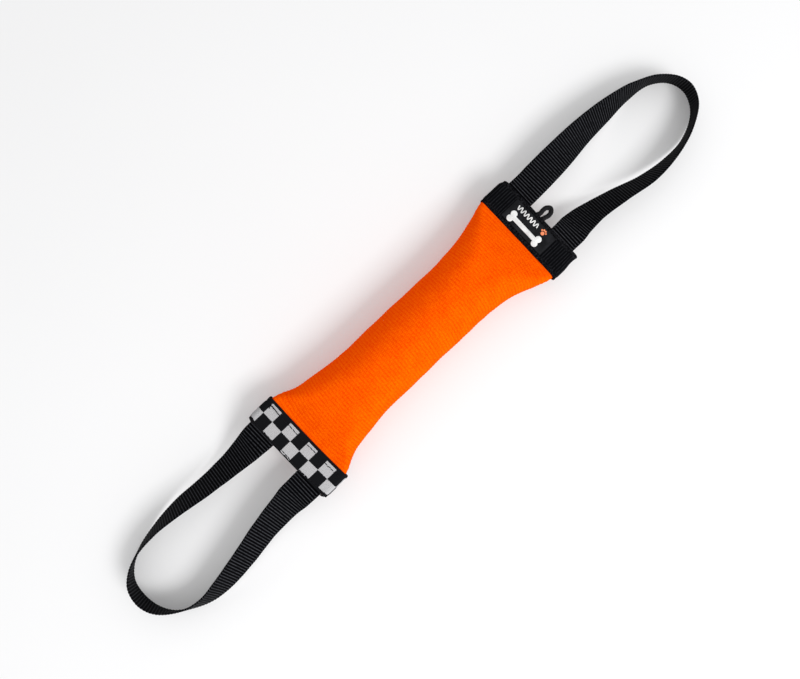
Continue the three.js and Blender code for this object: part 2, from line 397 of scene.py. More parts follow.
def checkered_webbing():
    """Jacquard webbing: two rows of grey and black squares, edged in black."""
    material, shader = new_material("checkered_webbing", roughness=0.8, specular=0.05)
    vector, across, along = uv_places(shader)
    ragged = noise(vector, 9, detail=2)
    weft = calculate("SNAP", along, 0.5)
    place = times_plus(minus(ragged, 0.5), 0.7, across)
    row = calculate("GREATER_THAN", place, CHECKER_INNER_MARGIN + CHECKER_ROW)
    turn = over(minus(weft, CHECKER_SHIFT), CHECKER_SIDE)
    count = plus(calculate("FLOOR", turn), row)
    square = calculate("FLOORED_MODULO", count, 2)
    after = calculate("GREATER_THAN", place, CHECKER_INNER_MARGIN)
    outer_edge = BINDING_END - BINDING_START - CHECKER_OUTER_MARGIN
    tear = minus(noise(vector, 4, detail=4, roughness=0.7), 0.5)
    rough_edge = times_plus(tear, 4.5, across)
    from_middle = minus(along, BINDING_GIRTH / 2)
    from_middle = over(from_middle, BINDING_HALF_SPAN)
    margin = times(times(from_middle, from_middle), CHECKER_CORNER_MARGIN)
    margin = calculate("MINIMUM", margin, CHECKER_CORNER_MARGIN)
    rough_edge = plus(rough_edge, margin)
    before = calculate("LESS_THAN", rough_edge, outer_edge)
    grey = times(square, times(after, before))
    warp = wave(across, CHECKER_YARN)
    pick = wave(along, CHECKER_YARN)
    weave = times(warp, pick)
    fibre = noise(vector, 16, detail=3)
    light = plus(times(weave, 0.5), spread(fibre, 0.1, 0.6))
    pale = mix_colours(light, (0.15, 0.15, 0.155), (0.55, 0.545, 0.555))
    dark = mix_colours(light, (0.0004, 0.0005, 0.0008), (0.0075, 0.008, 0.0095))
    paint(shader, mix_colours(grey, dark, pale), spread(fibre, 0.7, 0.9))
    height = plus(weave, times(fibre, 0.5))
    add_bump(shader, height, 0.15, strength=0.7)
    return material


def woven_cloth(name, dark, light):
    """A fine plain weave, for the label and the motifs woven into it."""
    material, shader = new_material(name, roughness=0.6, specular=0.1)
    vector, across, along = uv_places(shader)
    weave = times(wave(across, LABEL_YARN), wave(along, LABEL_YARN))
    fibre = noise(vector, 12, detail=3)
    share = plus(times(weave, 0.5), spread(fibre, 0, 0.5))
    share = plus(share, spread(noise(vector, 1.4), -0.3, 0.3, reach=0.15))
    paint(shader, mix_colours(share, dark, light), spread(fibre, 0.5, 0.75))
    add_bump(shader, plus(weave, fibre), 0.05, strength=0.6)
    return material


def twisted_thread(name, dark, light, pitch):
    """Plied yarn: filaments that wind round it. U runs round the thread and V along it."""
    material, shader = new_material(name, roughness=0.7, specular=0.1)
    vector, around, along = uv_places(shader)
    ply = wave(plus(around, along), pitch)
    fibre = noise(vector, 20, detail=3)
    share = plus(times(ply, 0.6), spread(fibre, 0, 0.4))
    paint(shader, mix_colours(share, dark, light), spread(fibre, 0.6, 0.85))
    add_bump(shader, plus(ply, fibre), 0.12, strength=0.6)
    return material


def moulded(name, dark, light, scale, roughness, depth):
    """A plain material with a grain, for the liner and the foam."""
    material, shader = new_material(name, roughness=roughness, specular=0.3)
    vector, _, _ = uv_places(shader)
    grain = noise(vector, scale, detail=4)
    sheen = spread(grain, roughness - 0.1, roughness + 0.1)
    paint(shader, mix_colours(grain, dark, light), sheen)
    add_bump(shader, grain, depth, strength=0.5)
    return material


def studio_floor():
    material, shader = new_material("studio_floor", roughness=0.9, specular=0.0)
    places = put("ShaderNodeTexCoord", tree=shader.id_data, output=3)
    colour = mix_colours(noise(places, 3), (0.70, 0.70, 0.705), (0.73, 0.73, 0.735))
    paint(shader, colour)
    shader.inputs["Emission Color"].default_value = (1, 1, 1, 1)
    shader.inputs["Emission Strength"].default_value = FLOOR_GLOW
    return material


# ---- Meshes ----
RIPPLE_TERMS = 10
RIB_ROUNDNESS = 0.7
ROWS_PER_RIB = 6


def catmull_rom(points, per_span=24):
    """A smooth line through points, in steps. The first three numbers of a point space the line."""
    points = np.array(points, float)
    ends = 2 * points[[0, -1]] - points[[1, -2]]
    points = np.vstack([ends[0], points, ends[1]])
    line = []
    for a, b, c, d in zip(points, points[1:], points[2:], points[3:]):
        spans = ((a, b), (b, c), (c, d))
        first, middle, last = (max(np.linalg.norm((q - p)[:3]) ** 0.5, 1e-4) for p, q in spans)
        start = ((b - a) / first - (c - a) / (first + middle) + (c - b) / middle) * middle
        end = ((c - b) / middle - (d - b) / (middle + last) + (d - c) / last) * middle
        t = np.linspace(0, 1, per_span, endpoint=False)[:, None]
        square, cube = 3 * (c - b) - 2 * start - end, 2 * (b - c) + start + end
        line.append(b + start * t + square * t**2 + cube * t**3)
    return np.vstack([*line, points[-2]])


def lengths_along(line):
    steps = np.linalg.norm(np.diff(line[:, :3], axis=0), axis=1)
    return np.concatenate([[0], np.cumsum(steps)])


def respaced(line, step):
    """The line again with points about a step apart, and how far along it each of them is."""
    along = lengths_along(line)
    places = np.linspace(0, along[-1], round(along[-1] / step) + 1)
    return np.stack([np.interp(places, along, column) for column in line.T], axis=1), places


def unit(vectors):
    return vectors / np.linalg.norm(vectors, axis=-1, keepdims=True)


def frames_along(line, roll=0.0):
    """The tangent of a line, its sideways direction turned by roll, and the normal to both."""
    tangent = unit(np.gradient(line, axis=0))
    outward = unit(np.cross(UP, tangent))
    roll = np.broadcast_to(np.radians(roll), len(line))[:, None]
    sideways = outward * np.cos(roll) + np.cross(tangent, outward) * np.sin(roll)
    return tangent, sideways, np.cross(tangent, sideways)


def ripples(seed, wavelength, *places):
    """Smooth noise from -1 to 1, the same each time: a sum of waves in seeded directions."""
    draw = np.random.default_rng(seed)
    total = 0.0
    for _ in range(RIPPLE_TERMS):
        direction = draw.normal(size=len(places))
        direction *= TURN / (wavelength * draw.uniform(0.7, 1.6) * np.linalg.norm(direction))
        phase = draw.uniform(0, TURN)
        total = total + np.sin(sum(d * p for d, p in zip(direction, places)) + phase)
    return total / RIPPLE_TERMS**0.5 / 1.5


def rib(place, pitch):
    """The height of a row of round ribs, from 0 between them to 1 on their crests."""
    return (0.5 + 0.5 * np.cos(TURN * np.asarray(place) / pitch)) ** RIB_ROUNDNESS


def smooth_step(value, low, high):
    t = np.clip((np.asarray(value, float) - low) / (high - low), 0, 1)
    return t * t * (3 - 2 * t)


def grid_mesh(name, grid, across, along, material, wrap_rows=False, caps=True):
    """A mesh through rows of points whose columns close round. across has one more value than there
    are columns, and along one more than there are rows if they wrap, so the UV map has no jump.
    Either may be a grid instead of a line."""
    rows, columns = grid.shape[:2]
    bands = rows if wrap_rows else rows - 1
    along = along if along.ndim == 2 else along[:, None]
    across, along = (np.broadcast_to(a, (bands + 1, columns + 1)) for a in (across, along))
    i, j = (a.ravel() for a in np.meshgrid(np.arange(bands), np.arange(columns), indexing="ij"))
    next_i, next_j = (i + 1) % rows, (j + 1) % columns
    here, ahead = i * columns, next_i * columns
    corners = np.stack([here + j, here + next_j, ahead + next_j, ahead + j], 1)
    faces = corners.tolist()
    if caps and not wrap_rows:
        faces.append(list(range(columns))[::-1])
        faces.append(list(range((rows - 1) * columns, rows * columns)))
    mesh = bpy.data.meshes.new(name)
    mesh.from_pydata((grid.reshape(-1, 3) * MM).tolist(), [], faces)
    corner_u, corner_v = (
        np.stack([a[i, j], a[i, j + 1], a[i + 1, j + 1], a[i + 1, j]], 1) for a in (across, along)
    )
    places = np.zeros((len(mesh.loops), 2))
    places[: corners.size] = np.stack([corner_u.ravel(), corner_v.ravel()], 1) / UV_UNIT
    mesh.uv_layers.new(name=UV_NAME).data.foreach_set("uv", places.ravel())
    mesh.polygons.foreach_set("use_smooth", [True] * len(faces))
    mesh.materials.append(material)
    mesh.update()
    return link(name, mesh)


def link(name, data):
    piece = bpy.data.objects.new(name, data)
    bpy.context.scene.collection.objects.link(piece)
    return piece


def on_bumper(piece, slot, *nodes):
    """Faces a piece outward and fixes it to the bumper. It may stand for nodes of the CAD."""
    face_outward(piece)
    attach(piece, "bumper")
    if nodes:
        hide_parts(*nodes)
    return piece


def select(*pieces):
    bpy.ops.object.select_all(action="DESELECT")
    for piece in pieces:
        piece.select_set(True)
    bpy.context.view_layer.objects.active = pieces[0]


def joined(name, pieces):
    """One object from several."""
    select(*pieces)
    bpy.ops.object.join()
    pieces[0].name = name
    pieces[0].data.name = name
    return pieces[0]


def face_outward(piece):
    """Turns every face of a closed piece to look away from its inside."""
    select(piece)
    bpy.ops.object.mode_set(mode="EDIT")
    bpy.ops.mesh.select_all(action="SELECT")
    bpy.ops.mesh.normals_make_consistent(inside=False)
    bpy.ops.object.mode_set(mode="OBJECT")


# ---- The stuffed hose ----
HOSE_ROW_STEP = HOSE_RIB_PITCH / 5
HOSE_COLUMNS = 132
HOSE_INNER_ROWS = 36
FILLING_ROWS = 60
FILLING_COLUMNS = 72
HOSE_RIB_HEIGHT = 0.22
HOSE_RIB_BOW = 0.33
HOSE_GATHER = 3.6  # how far the checkered end is drawn back inside its binding
HOSE_GATHER_START = 127
SIM_STEP = 4.0
SIM_COLUMNS = 42
SIM_FRAMES = 18
SIM_SEWN_FADE = 9  # from a binding's edge to where its cloth is free
SIM_CAP = 1.6
SIM_INWARD_CAP = 0.45
SIM_CLOTH = {
    "quality": 8,
    "mass": 0.05,
    "tension_stiffness": 60,
    "compression_stiffness": 30,
    "shear_stiffness": 8,
    "bending_stiffness": 0.4,
    "use_pressure": True,
    "uniform_pressure_force": 6,
}


def label_corner(place, y):
    """The label end's sewn corners: one rounds in, and the other stands out in a small knob."""
    rounded = 1.4 * smooth_step(place, 17, 25.4) ** 2 * smooth_step(y, 30, 42)
    waisted = -0.7 * smooth_step(place, 10, 20) * (1 - smooth_step(place, 21, 24))
    return rounded + waisted * smooth_step(-y, 34, 42)


def hose_half_width(x):
    line = catmull_rom([[place, width, 0] for place, width in HOSE_OUTLINE])
    return np.interp(np.abs(x), line[:, 0], line[:, 1])


def settled(x, y):
    """Where the filling has pushed a point of the hose, across the bumper, from its even shape."""
    far, near = smooth_step(y, 4, 26), smooth_step(-y, 4, 26)
    body = 0.8 * far * (1 - smooth_step(np.abs(x), 78, 106))
    label_flare = -2.3 * near * smooth_step(x, 74, 100)
    checkered_flare = -1.3 * near * smooth_step(-x, 104, 114)
    neck = 1.0 * (near - far) * np.exp(-(((x + 97) / 11) ** 2))
    return y + body + label_flare + checkered_flare + neck


def stadium(turn, girth, flat, radius):
    """A flat stadium at a share of a turn from its lowest line: how far aside the middle of its arc
    is there, and the angle on that arc. flat is half the length of its straight sides."""
    place = (turn % 1) * girth
    arc = math.pi * radius
    on_side = np.clip(place - flat, 0, arc) + np.clip(place - 3 * flat - arc, 0, arc)
    aside = (
        np.clip(place, 0, flat)
        - np.clip(place - flat - arc, 0, 2 * flat)
        + np.clip(place - 3 * flat - 2 * arc, 0, flat)
    )
    return aside, on_side / radius - math.pi / 2


def hose_surface(x, turn, inset=0.0):
    """Points of the hose at x and a share of a turn round it, from its lowest line towards +Y."""
    width = hose_half_width(x)
    radius = (HOSE_GIRTH - 4 * width) / (TURN - 4)
    aside, angle = stadium(turn, HOSE_GIRTH, width - radius, radius)
    y = settled(x, aside + (radius - inset) * np.cos(angle))
    y = y - label_corner(x - BINDING_START, y)
    z = AXIS_HEIGHT + (radius - inset) * np.sin(angle)
    gathered = HOSE_GATHER * smooth_step(-x, HOSE_GATHER_START, HOSE_END)
    return np.stack(np.broadcast_arrays(x + gathered, y, z), axis=-1)


def hose_normals(x, turn):
    return unit(hose_surface(x, turn) - hose_surface(x, turn, inset=0.5))


def rib_place(x, girth):
    """How far along the bumper a point is in terms of the ribs. They wind and waver, and bow where
    the hose widens to stay at right angles to its warp."""
    widening = (hose_half_width(x + 0.5) - hose_half_width(x - 0.5)) / hose_half_width(x)
    bowed = HOSE_RIB_BOW * widening * hose_surface(x, girth / HOSE_GIRTH)[..., 1] ** 2
    wound = x + HOSE_RIB_SLOPE * girth + bowed
    return wound + 0.45 * ripples(7, 45, x, girth) + 0.12 * ripples(8, 10, x, girth)


def cloth_moves(stations, turns):
    """Lets the cloth find its own shape round the filling, and returns how each point moves."""
    x, turn = np.meshgrid(stations, turns, indexing="ij")
    rest = hose_surface(x, turn)
    rows, columns = rest.shape[:2]
    no_places = np.zeros(columns + 1), np.zeros(rows)
    sheet = grid_mesh("hose_simulation", rest, *no_places, None, caps=False)
    top = hose_surface(stations, np.full(rows, 0.5))
    cut_length = lengths_along(top)
    cut_length = cut_length - cut_length[-1] / 2
    radius = HOSE_GIRTH / TURN
    angle = TURN * turn
    y, z = radius * np.sin(angle), AXIS_HEIGHT - radius * np.cos(angle)
    cut = np.stack([cut_length[:, None] + 0 * turn, y, z], -1)
    sheet.shape_key_add(name="Basis")
    key = sheet.shape_key_add(name="cut")
    key.data.foreach_set("co", (cut.reshape(-1, 3) * MM).ravel())
    key.value = 0
    sheet.data.shape_keys.use_relative = True
    group = sheet.vertex_groups.new(name="sewn")
    bound = HOSE_END - BINDING_START
    held = 1 - smooth_step(HOSE_END - np.abs(x), bound, bound + SIM_SEWN_FADE)
    for index, weight in enumerate(held.ravel()):
        if weight > 0:
            group.add([index], float(weight), "REPLACE")
    cloth = sheet.modifiers.new("cloth", "CLOTH")
    settings = cloth.settings
    for name, value in SIM_CLOTH.items():
        setattr(settings, name, value)
    settings.vertex_group_mass = "sewn"
    settings.rest_shape_key = key
    settings.effector_weights.gravity = 0
    cloth.collision_settings.use_collision = False
    cloth.point_cache.frame_end = SIM_FRAMES
    scene = bpy.context.scene
    for frame_number in range(1, SIM_FRAMES + 1):
        scene.frame_set(frame_number)
    solved = sheet.evaluated_get(bpy.context.evaluated_depsgraph_get()).data
    moved = np.zeros(rows * columns * 3, np.float32)
    solved.vertices.foreach_get("co", moved)
    scene.frame_set(1)
    bpy.data.objects.remove(sheet)
    moves = moved.reshape(rows, columns, 3) / MM - rest
    size = np.linalg.norm(moves, axis=-1, keepdims=True)
    return moves * SIM_CAP / (SIM_CAP + size)


def cubic_weights(t):
    """Catmull-Rom weights of the four points round a place."""
    before, after = 2 - 5 * t**2 + 3 * t**3, t + 4 * t**2 - 3 * t**3
    return np.stack([-t + 2 * t**2 - t**3, before, after, t**3 - t**2]) / 2


def enlarge(values, places, wraps):
    """Reads rows of values at places that lie between them, smoothly."""
    count = len(values)
    first = np.floor(places).astype(int)
    weights = cubic_weights(places - first)
    total = 0.0
    for offset, weight in enumerate(weights):
        index = first + offset - 1
        index = index % count if wraps else np.clip(index, 0, count - 1)
        total = total + values[index] * weight.reshape(-1, *[1] * (values.ndim - 1))
    return total


def hose_jacket(material):
    rows = round(2 * HOSE_END / HOSE_ROW_STEP) + 1
    stations = np.linspace(-HOSE_END, HOSE_END, rows)
    turns = np.arange(HOSE_COLUMNS) / HOSE_COLUMNS
    x, turn = np.meshgrid(stations, turns, indexing="ij")
    outer, normal = hose_surface(x, turn), hose_normals(x, turn)
    coarse = np.linspace(-HOSE_END, HOSE_END, round(2 * HOSE_END / SIM_STEP) + 1)
    moves = cloth_moves(coarse, np.arange(SIM_COLUMNS) / SIM_COLUMNS)
    moves = enlarge(moves, np.linspace(0, len(coarse) - 1.0001, rows), wraps=False)
    moves = enlarge(moves.transpose(1, 0, 2), turns * SIM_COLUMNS, wraps=True)
    moves = moves.transpose(1, 0, 2)
    inward = np.minimum((moves * normal).sum(-1) + SIM_INWARD_CAP, 0)
    outer = outer + moves - inward[..., None] * normal
    winding = rib_place(x, turn * HOSE_GIRTH)
    side = np.abs(np.sin(TURN * turn)) ** 3
    flare = smooth_step(np.abs(x), 70, 104) * (1 - smooth_step(np.abs(x), 109, 116))
    height = HOSE_RIB_HEIGHT * (1 + 0.6 * side * flare)
    height = height * (1 + 0.25 * ripples(3, 24, x, outer[..., 1]))
    relief = height * (rib(winding, HOSE_RIB_PITCH) - 0.75)
    places = np.moveaxis(outer, -1, 0)
    relief = relief + 0.12 * ripples(4, 11, *places)
    relief = relief + 0.3 * ripples(5, 30, *places) * smooth_step(np.abs(x), 112, 95)
    outer = outer + relief[..., None] * normal
    outer[..., 2] = np.maximum(outer[..., 2], 0)
    inner_stations = np.linspace(HOSE_END, -HOSE_END, HOSE_INNER_ROWS)
    inner_x, inner_turn = np.meshgrid(inner_stations, turns, indexing="ij")
    inner = hose_surface(inner_x, inner_turn, inset=HOSE_WALL)
    grid = np.concatenate([outer, inner])
    across = np.arange(HOSE_COLUMNS + 1) / HOSE_COLUMNS * HOSE_GIRTH
    along = rib_place(np.concatenate([stations, inner_stations, stations[:1]])[:, None], across)
    piece = grid_mesh("hose_jacket_cloth", grid, across, along, material, wrap_rows=True)
    return on_bumper(piece, "hose_fabric", "hose_jacket")


def filling(name, node, slot, end, insets, material):
    """A tube or a solid inside the hose, in its shape. insets: one surface, or two walls."""
    turns = np.arange(FILLING_COLUMNS) / FILLING_COLUMNS
    stations = np.linspace(-end, end, FILLING_ROWS)
    walls = []
    for number, inset in enumerate(insets):
        x, turn = np.meshgrid(stations[:: -1 if number else 1], turns, indexing="ij")
        walls.append(hose_surface(x, turn, inset))
    grid = np.concatenate(walls)
    wraps = len(insets) > 1
    across = np.arange(FILLING_COLUMNS + 1) / FILLING_COLUMNS * HOSE_GIRTH
    along = lengths_along(np.vstack([grid[:, 0], grid[:1, 0]]) if wraps else grid[:, 0])
    on_bumper(grid_mesh(name, grid, across, along, material, wrap_rows=wraps), slot, node)


# ---- Webbing ----
STRAP_RIB_HEIGHT = 0.26
STRAP_ASKEW = 0.27
SELVEDGE_DEPTH = 0.012  # how far its edges draw in between ribs, as a share of half its width
STRAP_FACE_COLUMNS = 12
STRAP_EDGE_COLUMNS = 4


def strip_section(width, thickness):
    """Places across and through a flat strip, round its section, which has half-round edges."""
    radius = thickness / 2
    flat = width / 2 - radius
    face = np.linspace(flat, -flat, STRAP_FACE_COLUMNS + 1)
    arc = np.linspace(math.pi / 2, 3 * math.pi / 2, STRAP_EDGE_COLUMNS + 1)[1:-1]
    out, up, level = radius * np.cos(arc), radius * np.sin(arc), 0 * face
    across = np.concatenate([face, -flat + out, -face, flat - out])
    through = np.concatenate([level + radius, up, level - radius, -up])
    return across, through


def strip(name, line, roll, size, pitch, height, material, seed, wobble=0.12, askew=0.0):
    """A ribbed strip of webbing along a line. Where it is rolled on to its edge, askew is how far
    its ribs' upper ends are drawn back towards the body, as a share of their height."""
    line4, along = respaced(np.column_stack([line, roll]), pitch / ROWS_PER_RIB)
    line, roll = line4[:, :3], line4[:, 3]
    tangent, sideways, normal = frames_along(line, roll)
    width, thickness = size
    across, through = strip_section(width, thickness)
    crest = rib(along, pitch)[:, None]
    trough = rib(along + pitch / 2, pitch)[:, None]
    raised = np.where(through > 0, crest, trough)
    lift = through * (1 - height / (thickness / 2) * (1 - raised))
    reach = across * (1 - SELVEDGE_DEPTH * (1 - crest))
    reach = reach * (1 + wobble / (width / 2) * ripples(seed, 21, along)[:, None])
    grid = line[:, None] + sideways[:, None] * reach[..., None] + normal[:, None] * lift[..., None]
    drawn_back = askew * sideways[:, 2] * tangent[:, 0] * np.sign(line[:, 0])
    grid = grid - tangent[:, None] * (drawn_back[:, None] * reach)[..., None]
    places = np.append(np.where(through > 0, across, -across), across[0])
    behind = pitch / 2 * (0.5 - through / thickness)  # the ribs of the other face lie between these
    return grid_mesh(name, grid, places, along[:, None] + np.append(behind, behind[0]), material)


def strap(end, route, material, seed):
    """A handle: one length of webbing from its sewn end, round the loop, to its other sewn end."""
    sign = math.copysign(1, route[0][0])
    first, last = (
        [[sign * x, y, z, 0] for x in STRAP_SEWN] for _, y, z, _ in (route[0], route[-1])
    )
    line = catmull_rom(first + route + last[::-1])
    size = (STRAP_WIDTH, STRAP_THICKNESS)
    ribs = (STRAP_RIB_PITCH, STRAP_RIB_HEIGHT)
    name, tail = f"{end}_end_strap", f"{end}_handle_tail"
    piece = strip(name, line[:, :3], line[:, 3], size, *ribs, material, seed, askew=STRAP_ASKEW)
    face_outward(piece)
    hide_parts(f"{end}_end_handle", f"{tail}_left", f"{tail}_right")
    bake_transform(piece)


BINDING_ROWS = 18
BINDING_EDGE_ROWS = 4
BINDING_INNER_ROWS = 5
SEAM_PLACES = {"label": (2.2, 23.2), "checkered": (5.0, 23.5)}  # from the binding's inner edge
# How each binding in the photo differs from the even one: along the bumper, then across it.
BINDING_WIDEN = {"label": 1.04, "checkered": 0.95}
BINDING_NUDGE = {"label": -0.8, "checkered": -0.9}
BINDING_ARCH = {"label": 0.0, "checkered": -0.9}
BINDING_STRETCH = {"label": 1.026, "checkered": 1.028}
BINDING_SHIFT = {"label": -1.6, "checkered": -0.9}
BINDING_SEEDS = {"label": 31, "checkered": 41}


def binding_section(turn, inset):
    """Across and up places of a binding at a share of a turn from its lowest line."""
    straight = BINDING_HALF_SPAN - BINDING_FACE
    aside, angle = stadium(turn, BINDING_GIRTH, straight, BINDING_FACE)
    radius = BINDING_FACE - inset
    return aside + radius * np.cos(angle), radius * np.sin(angle)


def binding_press(end, place, y):
    """How much a binding sinks below its full thickness: at its seams and edges, and at random."""
    width = BINDING_END - BINDING_START
    sunk = 0.12 + 0.1 * ripples(BINDING_SEEDS[end], 14, place, y)
    for seam in SEAM_PLACES[end]:
        sunk = sunk + 0.34 * np.exp(-(((place - seam) / 1.1) ** 2))
    edge = np.minimum(place, width - place)
    return sunk + 0.3 * np.exp(-edge / 1.2)


def binding_place(end, place, y):
    """A point of a binding, from its place across the tape and across the even binding."""
    sign = 1 if end == "label" else -1
    arch = BINDING_ARCH[end] * (1 - (y / BINDING_HALF_SPAN) ** 2)
    if end == "label":
        lean = -0.9 * smooth_step(-y, 36, 43) * (1 - smooth_step(place, 3, 12))
    else:
        lean = -0.35 * y / BINDING_HALF_SPAN
    x = BINDING_START + BINDING_NUDGE[end] + BINDING_WIDEN[end] * place
    return sign * x + arch + lean, y * BINDING_STRETCH[end] + BINDING_SHIFT[end]


def binding(end, slot, material, pitch, rib_height, corner_inset):
    """Webbing wrapped round a flat end of the hose, with its ribs lying along the bumper."""
    width = BINDING_END - BINDING_START
    radius = BINDING_THICKNESS / 2
    columns = round(BINDING_GIRTH / pitch) * ROWS_PER_RIB
    turns = np.arange(columns) / columns
    rib_pitch = BINDING_GIRTH / round(BINDING_GIRTH / pitch)
    outer_places = np.linspace(radius, width - radius, BINDING_ROWS)
    arc = np.linspace(0, math.pi, BINDING_EDGE_ROWS + 2)[1:-1]
    inner_places = np.linspace(width - radius, radius, BINDING_INNER_ROWS)
    far_edge, near_edge = width - radius + radius * np.sin(arc), radius - radius * np.sin(arc)
    sinking, rising = radius - radius * np.cos(arc), radius + radius * np.cos(arc)
    rows = np.concatenate([outer_places, far_edge, inner_places, near_edge])
    insets = np.concatenate([0 * outer_places, sinking, 0 * inner_places + 2 * radius, rising])
    place, turn = np.meshgrid(rows, turns, indexing="ij")
    outside = 1 - np.clip(insets / (2 * radius), 0, 1)[:, None]
    y, _ = binding_section(turn, 0)
    crest = rib(turn * BINDING_GIRTH, rib_pitch)
    selvedge = smooth_step(np.minimum(place, width - place), 0.2, 1.4)
    sunk = binding_press(end, place, y) + rib_height * (1 - crest) * (0.35 + 0.65 * selvedge)
    y, z = binding_section(turn, insets[:, None] + sunk * outside)
    waver = 0.18 * ripples(BINDING_SEEDS[end] + 1, 17, y, z) * outside
    x, y = binding_place(end, place + waver, y - corner_inset(place, y))
    grid = np.stack(np.broadcast_arrays(x, y, AXIS_HEIGHT + z), -1)
    along = np.append(turns * BINDING_GIRTH, BINDING_GIRTH)
    # UV: across the tape in U and along it, round the girth, in V, as on the straps.
    grid = grid.transpose(1, 0, 2)
    across = np.append(rows, rows[0])
    name = f"{end}_end_binding"
    piece = grid_mesh(f"{name}_tape", grid, across, along, material, wrap_rows=True)
    on_bumper(piece, slot, name)


def checkered_corner(place, y):
    return 0.5 * smooth_step(place, 19, 25) * smooth_step(y, 34, 42)


# ---- The label ----
LABEL_FACE = BINDING_FACE + 0.42  # above the axis
LABEL_THICKNESS = 0.5
LABEL_RIB_PITCH = 0.9
LABEL_RIB_HEIGHT = 0.02
MOTIF_HEIGHT = 0.22


def woven_label(material):
    along, across = LABEL[1][0] - LABEL[0][0], LABEL[1][1] - LABEL[0][1]
    centre = (LABEL[0][0] + LABEL[1][0]) / 2
    y = np.linspace(across / 2, -across / 2, 60)
    height = AXIS_HEIGHT + LABEL_FACE - 0.16 * smooth_step(np.abs(y), across / 2 - 1.5, across / 2)
    line = np.column_stack([centre + 0 * y, y, height + 0.08 * ripples(21, 16, y)])
    size, ribs = (along, LABEL_THICKNESS), (LABEL_RIB_PITCH, LABEL_RIB_HEIGHT)
    piece = strip("woven_label_cloth", line, 0 * y, size, *ribs, material, 22, wobble=0.08)
    on_bumper(piece, "label_fabric", "woven_label")
    return piece, centre, along, across


def raised_patch(name, outline, base, material):
    """A flat motif with a soft edge, standing a little above the label."""
    outline = np.array(outline, float)
    centre = outline.mean(0)
    normal = unit(np.gradient(np.vstack([outline[-1], outline, outline[0]]), axis=0)[1:-1])
    inward = np.column_stack([-normal[:, 1], normal[:, 0]])
    if ((centre - outline) * inward).sum() < 0:
        inward = -inward
    rings = []
    for step_in, height in ((0, -0.25), (0, 0.45), (0.06, 0.85), (0.16, 1)):
        ring = outline + inward * step_in
        rings.append(np.column_stack([ring, np.full(len(ring), base + height * MOTIF_HEIGHT)]))
    grid = np.array(rings)
    places = np.append(lengths_along(outline), 0)
    piece = grid_mesh(name, grid, places, np.arange(len(rings)) * 0.1, material)
    layer = piece.data.uv_layers[UV_NAME].data
    for loop in piece.data.loops:
        point = piece.data.vertices[loop.vertex_index].co
        layer[loop.index].uv = (point.x / MM / UV_UNIT, point.y / MM / UV_UNIT)
    return piece


def arc_points(centre, radius, start, end, steps):
    angle = np.radians(np.linspace(start, end, steps))
    return np.column_stack([centre[0] + radius * np.cos(angle), centre[1] + radius * np.sin(angle)])


def bone_outline(length, lobe, spread, shaft):
    """A plain bone along Y: four round lobes and a straight shaft."""
    far = length / 2 - lobe
    notch = math.degrees(math.asin(spread / lobe))
    waist = math.degrees(math.asin((spread - shaft) / lobe))
    corner = arc_points((far, spread), lobe, -notch, 180 + waist, 16)
    quarters = [corner, corner[::-1] * [-1, 1], corner * [-1, -1], corner[::-1] * [1, -1]]
    return np.vstack(quarters)[:, ::-1]


def wave_outline(length, amplitude, pitch, thickness):
    """A wavy line along Y."""
    y = np.linspace(-length / 2, length / 2, 90)
    line = np.column_stack([amplitude * np.sin(TURN * y / pitch), y])
    along = unit(np.gradient(line, axis=0))
    side = np.column_stack([-along[:, 1], along[:, 0]]) * thickness / 2
    return np.vstack([line + side, (line - side)[::-1]])


def label_motifs(centre, white, orange):
    """Generic marks woven into the label: a bone, a wavy line and a paw print."""
    top = AXIS_HEIGHT + LABEL_FACE + 0.25
    bone = bone_outline(length=34, lobe=2.8, spread=2.4, shaft=1.95) + [centre - 3.9, 1.6]
    line = wave_outline(length=22.6, amplitude=1.9, pitch=3.6, thickness=0.95) + [centre + 5.3, 6.3]
    pieces = [raised_patch("label_bone", bone, top, white)]
    pieces.append(raised_patch("label_wave", line, top, white))
    paw_centre = np.array([centre + 5.2, -11.4])
    toes = [((0.9, 2.2), 0.75), ((2.05, 0.8), 0.8), ((2.05, -0.8), 0.8), ((0.9, -2.2), 0.75)]
    paw = [
        raised_patch("pad", arc_points(paw_centre + place, radius, 0, 345, 24), top, orange)
        for place, radius in [((-0.8, 0), 1.6), *toes]
    ]
    pieces.append(joined("label_paw", paw))
    return [on_bumper(piece, "label_fabric") for piece in pieces]


# ---- Cord and stitches ----
def tube(name, line, radii, material, sides=8, relief=None):
    """A round or flat tube. radii gives its half size across and up at each point of the line."""
    _, sideways, normal = frames_along(line)
    angle = TURN * np.arange(sides) / sides
    along = lengths_along(line)
    swell = 1 if relief is None else relief(along[:, None], angle[None, :])
    around = sideways[:, None] * (radii[:, :1] * np.cos(angle) * swell)[..., None]
    upward = normal[:, None] * (radii[:, 1:] * np.sin(angle) * swell)[..., None]
    girth = TURN * radii.mean() * np.arange(sides + 1) / sides
    return grid_mesh(name, line[:, None] + around + upward, girth, along, material)


BRAID_STRANDS = 5
BRAID_PITCH = 7.0


def braid(along, angle):
    """The swell of a braided cord: two families of strands that pass over each other."""
    wound = TURN * BRAID_STRANDS * along / BRAID_PITCH
    left, right = np.cos(BRAID_STRANDS * angle + wound), np.cos(BRAID_STRANDS * angle - wound)
    over = 0.5 + 0.5 * np.cos(wound)
    return 0.95 + 0.1 * np.maximum(left * over, right * (1 - over))


